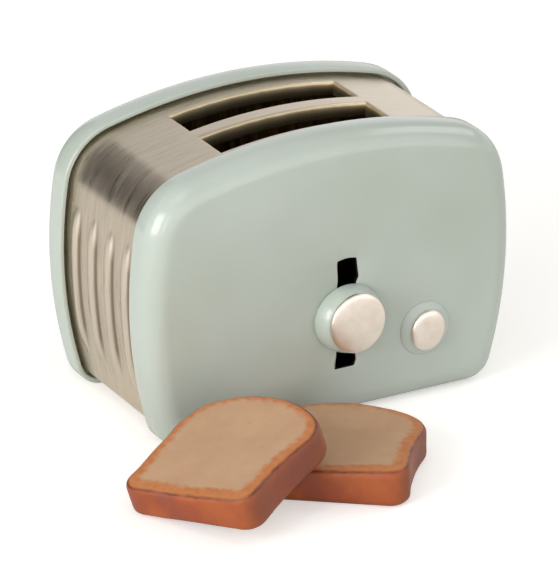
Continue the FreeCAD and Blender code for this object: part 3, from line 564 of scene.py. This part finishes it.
hole_x = BREAD_SLOT_HALF_LENGTH + LIP_ROUNDING
hole_y = BREAD_SLOT_HALF_WIDTH + LIP_ROUNDING
for sign in (-1, 1):
    cut_along(band, (sign * hole_x, 0, 0), (1, 0, 0), on_top)
    cut_along(band, (sign * BASE_OPENING, 0, 0), (1, 0, 0), lambda point: point.z < BASE_ZONE)
    for edge in (-1, 1):
        cut_along(band, (0, sign * BREAD_SLOT_Y + edge * hole_y, 0), (0, 1, 0), on_top)


def in_bread_slot(point, side):
    """Whether a point on the band's top lies over the hole of the front or rear slot."""
    return (point.z > TOP_ZONE and abs(point.x) < hole_x + 1e-4
            and abs(point.y - side * BREAD_SLOT_Y) < hole_y + 1e-4)


gone = [f for f in band.faces if any(in_bread_slot(f.calc_center_median(), side) for side in (-1, 1))
        or f.calc_center_median().z < BASE_ZONE and abs(f.calc_center_median().x) < BASE_OPENING]
bmesh.ops.delete(band, geom=gone, context="FACES")
for side in (-1, 1):
    ring = [e for e in band.edges if e.is_boundary and all(in_bread_slot(v.co, side) for v in e.verts)]
    inner_x, inner_y = hole_x, hole_y
    depth = 0.0
    for step in range(1, LIP_STEPS + 2):
        grown = bmesh.ops.extrude_edge_only(band, edges=ring)["geom"]
        verts = [g for g in grown if isinstance(g, bmesh.types.BMVert)]
        ring = [g for g in grown if isinstance(g, bmesh.types.BMEdge) and all(v in verts for v in g.verts)]
        if step <= LIP_STEPS:
            bend = math.radians(90 * step / LIP_STEPS)
            last = math.radians(90 * (step - 1) / LIP_STEPS)
            shift = LIP_ROUNDING * (math.sin(bend) - math.sin(last))
            drop = LIP_ROUNDING * (math.cos(last) - math.cos(bend))
            fit = ((inner_x - shift) / inner_x, (inner_y - shift) / inner_y, 1)
            bmesh.ops.scale(band, vec=fit, verts=verts,
                            space=Matrix.Translation((0, -side * BREAD_SLOT_Y, 0)))
            inner_x -= shift
            inner_y -= shift
        else:
            drop = LIP_DEPTH - LIP_ROUNDING
        bmesh.ops.translate(band, vec=(0, 0, -drop), verts=verts)
        depth += drop
        # The lips' paint: straw tint on the rounding and ends as a painted highlight, then painted shade with depth
        # into the slot.
        for v in verts:
            at_end = abs(v.co.x) > BREAD_SLOT_HALF_LENGTH - 0.01
            v[lip_straw_and_shade] = LIP_END_TINT if at_end else min(1.0, LIP_EDGE_TINT + LIP_SHADE_GAIN * depth / LIP_DEPTH)
        if step in (2, 3):
            for v in verts:
                v.co.z += LIP_WANDER * noise.noise(v.co * 0.8)
bmesh.ops.recalc_face_normals(band, faces=band.faces)
steel = brushed_steel()
centre_band = finished_piece("brushed_centre_band", band, "toaster", steel)
sheet = centre_band.modifiers.new("sheet", "SOLIDIFY")
sheet.thickness = BAND_THICKNESS * MM
sheet.offset = -1.0
sheet.use_even_offset = True
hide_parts("centre_band")


# Bread wells. Two chutes folded from thin sheet steel and left bare inside the casing. They take
# on a dull brown bloom and are dark inside.
def well_steel():
    """Bare cold-rolled sheet: a grey-brown metal, dull, with faint vertical drawing marks."""
    material, tree, place = new_material("bare_sheet_steel", Metallic=1.0)
    drawn = add(tree, "ShaderNodeMapping", {"Vector": place, "Scale": (1.0, 1.0, 0.05)})
    streak = noise_field(tree, drawn.outputs["Vector"], 0.5, 3.0)
    tint = ramp(tree, streak, (0.3, "#5E4A2C"), (0.7, "#7A6340"))
    gloss = ranged(tree, streak, 0.3, 0.7, 0.3, 0.5)
    return wired(material, Base_Color=tint, Roughness=gloss)


def dress(node, material):
    """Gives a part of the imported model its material."""
    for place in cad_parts[node].material_slots:
        place.material = material


chute = well_steel()
dress("front_well", chute)
dress("rear_well", chute)


# Base plate and screws. A flat steel plate, zinc plated, held by four countersunk screws, and four
# long pan-head screws that pull the two shells together from behind.
def zinc_plate():
    """Bright zinc plating: a cool grey, satin, with slow clouds from the bath."""
    material, tree, place = new_material("zinc_plated_steel", Metallic=1.0)
    cloud = noise_field(tree, place, 2.5, 4.0)
    tint = ramp(tree, cloud, (0.3, "#A9AAA8"), (0.7, "#C3C3BF"))
    gloss = ranged(tree, cloud, 0.3, 0.7, 0.3, 0.42)
    grain = noise_field(tree, place, 0.2)
    bump = relief(tree, grain, 0.004)
    return wired(material, Base_Color=tint, Roughness=gloss, Normal=bump)


zinc = zinc_plate()
for name in ("base_plate", "base_screws", "tie_screws", "lever_screw", "dial_push_nut", "carriage",
             "guide_post_left", "guide_post_right"):
    dress(name, zinc)


# Carriage bushes and washers. Small turned brass bushes run on the posts, and moulded nylon
# washers rub on the inside of the shell.
def turned_brass():
    """Brass turned on a lathe: warm yellow, with fine rings round it."""
    material, tree, place = new_material("turned_brass", Metallic=1.0)
    rings = add(tree, "ShaderNodeMapping", {"Vector": place, "Scale": (0.05, 0.05, 1.0)})
    line = noise_field(tree, rings.outputs["Vector"], 0.15)
    tint = ramp(tree, line, (0.3, "#B08D4A"), (0.7, "#CDAA63"))
    gloss = ranged(tree, line, 0.0, 1.0, 0.2, 0.38)
    return wired(material, Base_Color=tint, Roughness=gloss)


def moulded_nylon():
    """Natural nylon: milky, slightly see-through at its edges, with a faint mould texture."""
    material, tree, place = new_material("moulded_nylon", IOR=1.53, Subsurface_Weight=0.2,
                                         Subsurface_Scale=0.4 * MM)
    grain = noise_field(tree, place, 0.3, 3.0)
    tint = ramp(tree, grain, (0.3, "#DAD6C8"), (0.7, "#E8E4D8"))
    gloss = ranged(tree, grain, 0.0, 1.0, 0.4, 0.55)
    bump = relief(tree, grain, 0.004)
    return wired(material, Base_Color=tint, Roughness=gloss, Normal=bump)


brass = turned_brass()
nylon = moulded_nylon()
for name in ("carriage_bush_left", "carriage_bush_right"):
    dress(name, brass)
for name in ("friction_washer", "dial_washer"):
    dress(name, nylon)


# Lever knob. A squat enamelled dome with rounded shoulders, on a square shank that runs through
# the slot, and a satin metal cap pressed into its front.
KNOB_Z = 14.8
KNOB_BACK = -15.55
KNOB_FRONT = -18.1
SHANK_END = -14.15
SHANK_HALF = 1.3
KNOB_SECTION = ((2.0, KNOB_BACK), (4.95, KNOB_BACK), (5.05, -15.65), (5.04, -15.95), (4.96, -16.4),
                (4.83, -16.9), (4.66, -17.35), (4.42, -17.8), (4.22, -18.02), (4.0, KNOB_FRONT),
                (0.0, KNOB_FRONT))
CAP_SECTION = ((0.0, KNOB_FRONT), (3.85, KNOB_FRONT), (4.06, -18.16), (4.1, -18.28), (4.1, -18.5),
               (4.05, -18.62), (3.94, -18.7), (3.5, -18.81), (2.7, -18.95), (1.6, -19.05), (0.0, -19.1))
KNOB_OVAL = 0.95
KNOB_SINK = 0.22
CAP_OVAL = 1.03


def turned_piece(bm, section, x, z, steps=96):
    """A section of radius and depth, spun once round the front-to-back line through a place."""
    old = set(bm.faces)
    tip = bmesh.ops.create_vert(bm, co=(section[0][0], section[0][1], 0))["vert"][0]
    chain = [tip]
    for radius, y in section[1:]:
        tip = bmesh.ops.extrude_vert_indiv(bm, verts=[tip])["verts"][0]
        tip.co = (radius, y, 0)
        chain.append(tip)
    edges = [e for e in bm.edges if e.verts[0] in chain and e.verts[1] in chain]
    bmesh.ops.spin(bm, geom=chain + edges, cent=(0, 0, 0), axis=(0, 1, 0), angle=2 * math.pi, steps=steps,
                   use_merge=True)
    faces = [f for f in bm.faces if f not in old]
    verts = list({v for f in faces for v in f.verts})
    bmesh.ops.translate(bm, vec=(x, 0, z), verts=verts)
    bmesh.ops.remove_doubles(bm, verts=verts, dist=1e-4)
    bmesh.ops.recalc_face_normals(bm, faces=bm.faces)


def cap_metal():
    """Satin aluminium, spun and lightly lacquered: a pinkish silver with soft, wide highlights."""
    material, tree, place = new_material("satin_cap_metal", Metallic=1.0, Coat_Weight=0.25,
                                         Coat_Roughness=0.25)
    cloud = noise_field(tree, place, 1.6, 4.0)
    tint = ramp(tree, cloud, (0.3, "#E6D8CB"), (0.7, "#F0E5DA"))
    gloss = ranged(tree, cloud, 0.3, 0.7, 0.3, 0.4)
    bump = relief(tree, cloud, 0.01)
    return wired(material, Base_Color=tint, Roughness=gloss, Normal=bump)


satin = cap_metal()

knob = bmesh.new()
turned_piece(knob, KNOB_SECTION, LEVER_X, KNOB_Z)
bmesh.ops.scale(knob, vec=(1.0, 1.0, KNOB_OVAL), verts=knob.verts,
                space=Matrix.Translation((0, 0, KNOB_SINK / (1 - KNOB_OVAL) - KNOB_Z)))
root = [e for e in knob.edges if e.is_boundary]
shank = bmesh.ops.create_circle(knob, cap_ends=True, segments=4, radius=SHANK_HALF * math.sqrt(2),
                                matrix=Matrix.Translation((LEVER_X, SHANK_END, KNOB_Z))
                                @ Matrix.Rotation(math.pi / 2, 4, "X") @ Matrix.Rotation(math.pi / 4, 4, "Z"))
shank_face = list({f for v in shank["verts"] for f in v.link_faces})[0]
back = bmesh.ops.extrude_face_region(knob, geom=[shank_face])["geom"]
bmesh.ops.translate(knob, vec=(0, KNOB_BACK - SHANK_END, 0),
                    verts=[g for g in back if isinstance(g, bmesh.types.BMVert)])
far = [g for g in back if isinstance(g, bmesh.types.BMFace)][0]
far_edges = list(far.edges)
bmesh.ops.delete(knob, geom=[far], context="FACES_ONLY")
bmesh.ops.bridge_loops(knob, edges=root + far_edges)
bmesh.ops.recalc_face_normals(knob, faces=knob.faces)
lever_knob = finished_piece("enamelled_lever_knob", knob, "lever_set", enamel)
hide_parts("lever_knob")

cap = bmesh.new()
turned_piece(cap, CAP_SECTION, LEVER_X, KNOB_Z)
bmesh.ops.scale(cap, vec=(1.0, 1.0, CAP_OVAL), verts=cap.verts, space=Matrix.Translation((0, 0, -KNOB_Z)))
lever_cap = finished_piece("satin_lever_cap", cap, "lever_set", satin)
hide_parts("lever_cap")


# Browning dial. A low enamelled disc on a shank through the shell, held behind by a push nut, with
# a smaller cap of the same satin metal.
DIAL_SECTION = ((0.0, -13.55), (1.2, -13.55), (1.2, KNOB_BACK), (3.8, -15.51), (3.78, -15.56),
                (3.7, -15.63), (3.52, -15.75), (3.25, -15.88), (2.95, -16.02), (2.65, -16.12),
                (2.35, -16.2), (0.0, -16.24))
DIAL_CAP_SECTION = ((0.0, -16.2), (2.4, -16.2), (2.52, -16.3), (2.55, -16.4), (2.55, -16.5),
                    (2.48, -16.62), (2.3, -16.72), (1.9, -16.82), (1.1, -16.92), (0.0, -16.95))
DIAL_CAP_OVAL = 1.13
DIAL_CAP_TURN = 12.0

disc = bmesh.new()
turned_piece(disc, DIAL_SECTION, DIAL_X, DIAL_Z)
dial_base = finished_piece("enamelled_dial", disc, "dial", enamel)
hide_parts("dial_base")

button = bmesh.new()
turned_piece(button, DIAL_CAP_SECTION, DIAL_X, DIAL_Z)
bmesh.ops.scale(button, vec=(1.0, 1.0, DIAL_CAP_OVAL), verts=button.verts,
                space=Matrix.Translation((-DIAL_X, 0, -DIAL_Z)))
bmesh.ops.rotate(button, cent=(DIAL_X, 0, DIAL_Z), verts=button.verts,
                 matrix=Matrix.Rotation(math.radians(DIAL_CAP_TURN), 3, "Y"))
dial_cap = finished_piece("satin_dial_cap", button, "dial", satin)
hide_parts("dial_cap")


# Slices of toast. Cast in resin from a hand-made pattern, which has one low shoulder, a thicker right end and no
# quite flat face, and painted by hand: pale crumb, an orange-brown crust, dark lines along the edges, and a satin
# varnish. A painted shade darkens the crust towards each slice's right end.
SLICE_WIDTH = 22.2
SLICE_HEIGHT = 22.2
SLICE_THICKNESS = 4.8
SLICE_BASE_WIDTH = 21.0
SLICE_BASE_RADIUS = 2.8
SLICE_LOBE_RADIUS = 5.0
SLICE_CROWN_RADIUS = 15.0
SLICE_WAIST_RADIUS = 40.0
SLICE_EDGE_RADIUS = 1.0
SLICE_UNEVENNESS = 0.16
SLICE_SWELL = 0.8
SLICE_SHOULDER = ((-11.0, -0.15), (-3.0, -0.12), (1.5, 0.4), (5.0, 1.2), (9.0, 0.85), (11.3, 0.0))
SLICE_MIDDLE_EDGE = 0.35
OUTLINE_POINTS = 400
BASE_BORDER_GAIN = 0.045
SIDE_BORDER_GAIN = 0.012
SLICE_RINGS = (0.955, 0.95, 0.945, 0.93, 0.9, 0.85, 0.7, 0.5)

LOWER_PLACE = (Matrix.Translation((-7.05, -29.09, SLICE_THICKNESS / 2))
               @ Matrix.Rotation(math.radians(-37.1), 4, "Z"))
UPPER_LEAN = 18.1128
UPPER_RISE = 6.2795
UPPER_PLACE = (Matrix.Translation((-24.32, -31.45, UPPER_RISE))
               @ Matrix.Rotation(math.radians(UPPER_LEAN), 4, Vector((0, -1, 0)))
               @ Matrix.Rotation(math.radians(-62.8), 4, "Z"))


def slice_arcs():
    """The slice's right-hand arcs from the crown to the base, as centre, sweep and steps."""
    middle = SLICE_HEIGHT / 2
    crown = Vector((0.0, middle - SLICE_CROWN_RADIUS, 0.0))
    lobe_x = SLICE_WIDTH / 2 - SLICE_LOBE_RADIUS
    lobe_rise = math.sqrt((SLICE_CROWN_RADIUS - SLICE_LOBE_RADIUS) ** 2 - lobe_x ** 2)
    lobe = Vector((lobe_x, crown.y + lobe_rise, 0.0))
    corner = Vector((SLICE_BASE_WIDTH / 2 - SLICE_BASE_RADIUS, SLICE_BASE_RADIUS - middle, 0.0))
    waist = between_arcs(corner, SLICE_BASE_RADIUS + SLICE_WAIST_RADIUS,
                         lobe, SLICE_LOBE_RADIUS + SLICE_WAIST_RADIUS, 1)
    bends = [0.0, clockwise(crown, lobe, 1), clockwise(lobe, waist, 1), clockwise(corner, waist, 1), math.pi]
    steps = (12, 16, 12, 10)
    centres = (crown, lobe, waist, corner)
    return [(centre, bends[i + 1] - bends[i], steps[i]) for i, centre in enumerate(centres)]


def slice_loop(bm, z):
    """The slice's outline at a height."""
    return spun_loop(bm, (0.0, SLICE_HEIGHT / 2, z), slice_arcs(), Vector((0, 0, -1)))


def shoulder(x, y):
    """How far the pattern's left side falls short of its right side at a place."""
    for (low, near), (high, far) in zip(SLICE_SHOULDER, SLICE_SHOULDER[1:]):
        if y <= high:
            part = max(0.0, (y - low) / (high - low))
            soft = part * part * (3 - 2 * part)
            return (near + (far - near) * soft) * max(0.0, -x) / (SLICE_WIDTH / 2)
    return 0.0


def swell(place):
    """How much the pattern thickens towards the right end of its base."""
    right = min(1.0, max(0.0, place.x / (SLICE_WIDTH / 2)))
    down = min(1.0, max(0.0, 0.25 - place.y / (SLICE_HEIGHT / 2)))
    return SLICE_SWELL * right * down * max(0.0, place.z / (SLICE_THICKNESS / 2))


def toast_slice(name, place, body, material, seed):
    """A slice modelled flat, made uneven, measured for its paint and then put in its place."""
    bm = bmesh.new()
    half = SLICE_THICKNESS / 2
    loops = [slice_loop(bm, z) for z in (-half, -SLICE_MIDDLE_EDGE, SLICE_MIDDLE_EDGE, half)]
    bridged(bm, loops)
    bmesh.ops.edgeloop_fill(bm, edges=loops[0])
    bmesh.ops.edgeloop_fill(bm, edges=loops[-1])
    bmesh.ops.recalc_face_normals(bm, faces=bm.faces)
    outline = kdtree.KDTree(OUTLINE_POINTS)
    count = 0
    for edge in loops[-1]:
        a, b = edge.verts
        for part in (0.0, 0.5):
            point = a.co.lerp(b.co, part)
            outline.insert((point.x, point.y, 0.0), count)
            count += 1
    outline.balance()
    bmesh.ops.bevel(bm, geom=loops[0] + loops[-1], offset=SLICE_EDGE_RADIUS, segments=6, profile=0.5,
                    affect="EDGES", clamp_overlap=False, material=-1)
    for up in (-1, 1):
        face = largest_face(bm, Vector((0, 0, up)))
        for shrink in SLICE_RINGS:
            face = drawn_in(bm, face, shrink, (0, 0, 0), (0, 0, up * half))
    bm.normal_update()
    crust = bm.verts.layers.float.new("crust")
    flat = bm.verts.layers.float_vector.new("flat")
    shifts = []
    for v in bm.verts:
        v[crust] = outline.find((v.co.x, v.co.y, 0.0))[2]
        v[flat] = v.co * MM
        rough = 0.5 + 0.5 * noise.noise(v.co * 0.33 + Vector((seed, 0, 0)))
        fine = 0.5 + 0.5 * noise.noise(v.co * 1.1 + Vector((0, seed, 0)))
        lift = 0.0 if v.co.z < 0.1 - half else 1.0
        shifts.append(v.normal * -SLICE_UNEVENNESS * lift * (0.7 * rough + 0.3 * fine))
    for v, shift in zip(bm.verts, shifts):
        v.co += shift
        v.co.x += shoulder(v.co.x, v.co.y)
        v.co.z += swell(v.co)
    bmesh.ops.transform(bm, matrix=place, verts=bm.verts)
    return finished_piece(name, bm, body, material, sharp=60.0)


def painted_toast():
    """Matt crumb and satin crust: colour by how far in from the crust, with dark lines brushed on."""
    material, tree = new_material("painted_toast_resin", IOR=1.5)[:2]
    flat = add(tree, "ShaderNodeAttribute", attribute_name="flat").outputs["Vector"]
    depth = add(tree, "ShaderNodeAttribute", attribute_name="crust").outputs["Fac"]
    spot = add(tree, "ShaderNodeSeparateXYZ", {"Vector": flat})
    height = spot.outputs["Z"]
    blotch = noise_field(tree, flat, 4.5, 3.0)
    brush = noise_field(tree, flat, 1.1, 4.0)
    crumb = ramp(tree, blotch, (0.3, "#B8906F"), (0.7, "#C19B79"))
    crust = ramp(tree, blotch, (0.34, "#8E452D"), (0.64, "#A75424"), (0.46, "#994722"))
    # Painted shade: the crust darkens towards the slice's right end.
    right_side_shade = ranged(tree, spot.outputs["X"], 8.6 * MM, 10.6 * MM, 0.0, 0.55)
    crust_with_shade = mixed(tree, right_side_shade, crust, linear("#6A3826"))
    rim = ramp(tree, brush, (0.3, "#B56B3A"), (0.7, "#C47E49"))
    uneven = calc(tree, "MULTIPLY_ADD", brush, 1.6, -0.8)
    edge = calc(tree, "ADD", depth, uneven)
    lopsided = add(tree, "ShaderNodeVectorMath", {0: flat, 1: (-SIDE_BORDER_GAIN / MM, BASE_BORDER_GAIN / MM, 0.0)},
                   operation="DOT_PRODUCT")
    inward = calc(tree, "ADD", edge, lopsided.outputs["Value"])
    border = ranged(tree, inward, 1.3, 2.3, interpolation_type="SMOOTHSTEP")
    surface_height = calc(tree, "DIVIDE", height, SLICE_THICKNESS / 2 * MM)
    above = ranged(tree, surface_height, 0.86, 0.97, interpolation_type="SMOOTHSTEP")
    outside = mixed(tree, above, crust_with_shade, rim)
    body = mixed(tree, border, outside, crumb)
    waver = calc(tree, "MULTIPLY_ADD", brush, 0.12, 0.84)
    off_line = calc(tree, "SUBTRACT", surface_height, waver)
    near = calc(tree, "ABSOLUTE", off_line)
    line = ranged(tree, near, 0.015, 0.09, 0.85, 0.0, interpolation_type="SMOOTHSTEP")
    gaps = noise_field(tree, flat, 2.6, 3.0)
    broken = ranged(tree, gaps, 0.3, 0.58, 0.3, 1.0)
    drawn = calc(tree, "MULTIPLY", line, broken)
    painted = mixed(tree, drawn, body, linear("#5F2408"))
    gloss = ranged(tree, border, 0.0, 1.0, 0.5, 0.64)
    bump = relief(tree, brush, 0.07)
    return wired(material, Base_Color=painted, Roughness=gloss, Normal=bump)


toast = painted_toast()
lower = toast_slice("painted_lower_slice", LOWER_PLACE, "lower_slice", toast, 4.0)
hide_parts("lower_slice")
upper = toast_slice("painted_upper_slice", UPPER_PLACE, "upper_slice", toast, 17.0)
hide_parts("upper_slice")


# Table and studio. A plain pale table top, five soft lamps of which the one on the left is strongest,
# and a dark card behind that only reflections see.
def table_top():
    """Pale matt laminate that shows as white to the camera and keeps the shadows."""
    material, tree = new_material("pale_table", Roughness=0.9, Base_Color=linear("#EAE8E3"))[:2]
    seen = add(tree, "ShaderNodeLightPath")
    mirrored = calc(tree, "MULTIPLY", seen.outputs["Is Glossy Ray"], 0.12)
    lift = calc(tree, "MULTIPLY_ADD", seen.outputs["Is Camera Ray"], 0.42, mirrored)
    glow = add(tree, "ShaderNodeEmission", {"Color": linear("#FFFFFF"), "Strength": lift})
    both = add(tree, "ShaderNodeAddShader", {0: tree.nodes["Principled BSDF"].outputs["BSDF"],
                                           1: glow.outputs["Emission"]})
    tree.links.new(both.outputs["Shader"], tree.nodes["Material Output"].inputs["Surface"])
    return material


top = bmesh.new()
bmesh.ops.create_grid(top, x_segments=2, y_segments=2, size=2.5)
floor_mesh = bpy.data.meshes.new("table_top")
top.to_mesh(floor_mesh)
top.free()
floor_mesh.materials.append(table_top())
floor = bpy.data.objects.new("table_top", floor_mesh)
floor.location.z = -0.00002
bpy.context.scene.collection.objects.link(floor)


def soft_lamp(name, place, width, height, power):
    """A soft lamp that looks at the toaster."""
    light = bpy.data.lights.new(name, "AREA")
    light.shape = "RECTANGLE"
    light.size = width
    light.size_y = height
    light.energy = power
    lamp = bpy.data.objects.new(name, light)
    lamp.location = place
    lamp.rotation_mode = "QUATERNION"
    lamp.rotation_quaternion = (Vector((0, 0, 0.02)) - Vector(place)).to_track_quat("-Z", "Y")
    bpy.context.scene.collection.objects.link(lamp)


soft_lamp("lamp_left", (-0.52, -0.14, 0.22), 0.35, 0.3, 2.0)
soft_lamp("lamp_above", (-0.2, -0.2, 0.55), 0.3, 0.3, 0.3)
soft_lamp("lamp_front", (0.15, -0.62, 0.27), 0.9, 0.6, 1.05)
soft_lamp("strip_beside_camera", (-0.36, -0.45, 0.2), 0.1, 0.28, 0.28)
soft_lamp("lamp_right", (0.45, -0.02, 0.42), 0.3, 0.3, 0.55)

card_mesh = bpy.data.meshes.new("dark_card")
panel = bmesh.new()
bmesh.ops.create_grid(panel, x_segments=1, y_segments=1, size=0.5,
                      matrix=Matrix.Translation((-0.185, 0.26, 0.11)) @ Matrix.Rotation(math.pi / 2, 4, "X")
                      @ Matrix.Diagonal((0.37, 0.24, 1, 1)))
panel.to_mesh(card_mesh)
panel.free()
card_mesh.materials.append(new_material("black_card", Roughness=0.9, Base_Color=linear("#150E08"))[0])
card = bpy.data.objects.new("dark_card", card_mesh)
card.visible_camera = False
card.visible_shadow = False
card.visible_diffuse = False
bpy.context.scene.collection.objects.link(card)

world = bpy.data.worlds.new("studio")
bpy.context.scene.world = world
world.use_nodes = True
air = world.node_tree
path = add(air, "ShaderNodeLightPath")
shown = calc(air, "MAXIMUM", path.outputs["Is Camera Ray"], path.outputs["Is Glossy Ray"])
clear = calc(air, "MAXIMUM", shown, path.outputs["Is Transmission Ray"])
height = add(air, "ShaderNodeSeparateXYZ", {"Vector": add(air, "ShaderNodeTexCoord").outputs["Generated"]})
sweep = ranged(air, height.outputs["Z"], 0.15, 0.6, 1.25, 0.6)
seen_sky = calc(air, "MAXIMUM", path.outputs["Is Camera Ray"], sweep)
level = add(air, "ShaderNodeMix", {0: clear, 2: 0.41, 3: seen_sky},
            data_type="FLOAT")
air.nodes["Background"].inputs["Color"].default_value = linear("#FFFFFF")
air.links.new(level.outputs[0], air.nodes["Background"].inputs["Strength"])

# Camera. A long lens from the left and a little above, as in the photograph.
camera_data = bpy.data.cameras.new("camera")
camera_data.sensor_width = 36.0
camera_data.lens = 339.1
camera_data.clip_start = 0.05
camera_data.clip_end = 20.0
camera = bpy.data.objects.new("camera", camera_data)
camera.location = (-0.332507, -0.599583, 0.313966)
camera.rotation_mode = "QUATERNION"
camera.rotation_quaternion = Vector((0.44396, 0.80046, -0.40270)).to_track_quat("-Z", "Y")
bpy.context.scene.collection.objects.link(camera)
bpy.context.scene.camera = camera
bpy.context.scene.view_settings.view_transform = "Standard"
